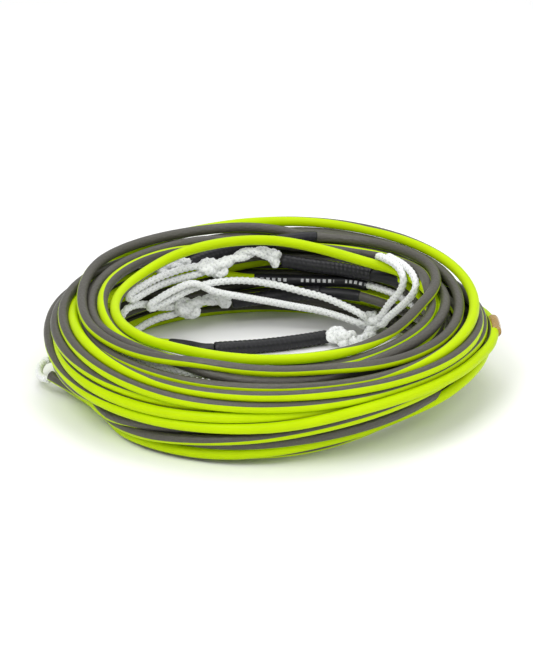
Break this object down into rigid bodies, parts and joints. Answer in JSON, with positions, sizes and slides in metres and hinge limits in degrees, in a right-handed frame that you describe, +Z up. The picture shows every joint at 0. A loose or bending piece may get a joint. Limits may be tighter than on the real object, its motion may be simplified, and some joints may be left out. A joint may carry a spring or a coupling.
{
  "type": "coiled tow rope",
  "caption": "Water-sports tow rope in a round coil: coated two-tone line with take-off sections, heat-shrunk splices, stop knots and braided hitching loops.",
  "frame": {"origin": "on the surface the coil rests on, under the middle of the whole rope's box", "axes": "+Z up along the coil's axis, +X to the right and +Y to the back of the coil as it lies"},
  "size_m": [0.3118, 0.3, 0.0692],
  "materials": {
    "coated_line": "satin co-extruded jacket, bright yellow-green on one side and warm dark grey on the other, turning slowly along the line",
    "black_shrink": "semi-matt heat-shrink tube, ribbed by the splice beneath it",
    "white_braid": "white hollow braid of glossy fine filaments",
    "amber_marker": "translucent amber tube"
  },
  "bodies": {
    "root": {"main_line_coil": "coated_line", "section_a_coil": "coated_line", "main_line_top_coil": "coated_line", "section_c_coil": "coated_line", "main_line_lead": "coated_line", "boat_end_lead": "coated_line", "section_a_lead": "coated_line", "section_c_lead": "coated_line", "section_b_line": "coated_line", "main_line_outer_bight": "coated_line", "main_line_collar": "black_shrink", "main_line_ribbed_sleeve": "black_shrink", "section_a_collar": "black_shrink", "section_a_ribbed_sleeve": "black_shrink", "section_b_collar": "black_shrink", "section_b_ribbed_sleeve": "black_shrink", "section_c_collar": "black_shrink", "section_c_ribbed_sleeve": "black_shrink", "boat_end_label_sleeve": "black_shrink", "main_line_stop_knot": "white_braid", "main_line_neck": "white_braid", "main_line_loop_knot": "white_braid", "main_line_loop": "white_braid", "boat_end_loop": "white_braid", "section_a_stop_knot": "white_braid", "section_a_neck": "white_braid", "section_a_loop_knot": "white_braid", "section_a_long_loop": "white_braid", "section_a_short_loop": "white_braid", "section_b_throat": "white_braid", "section_b_tail_loop": "white_braid", "section_c_stop_knot": "white_braid", "section_c_neck": "white_braid", "section_c_loop_knot": "white_braid", "section_c_loop": "white_braid", "section_c_tail_loop": "white_braid", "marker_sleeve": "amber_marker"}
  },
  "joints": []
}
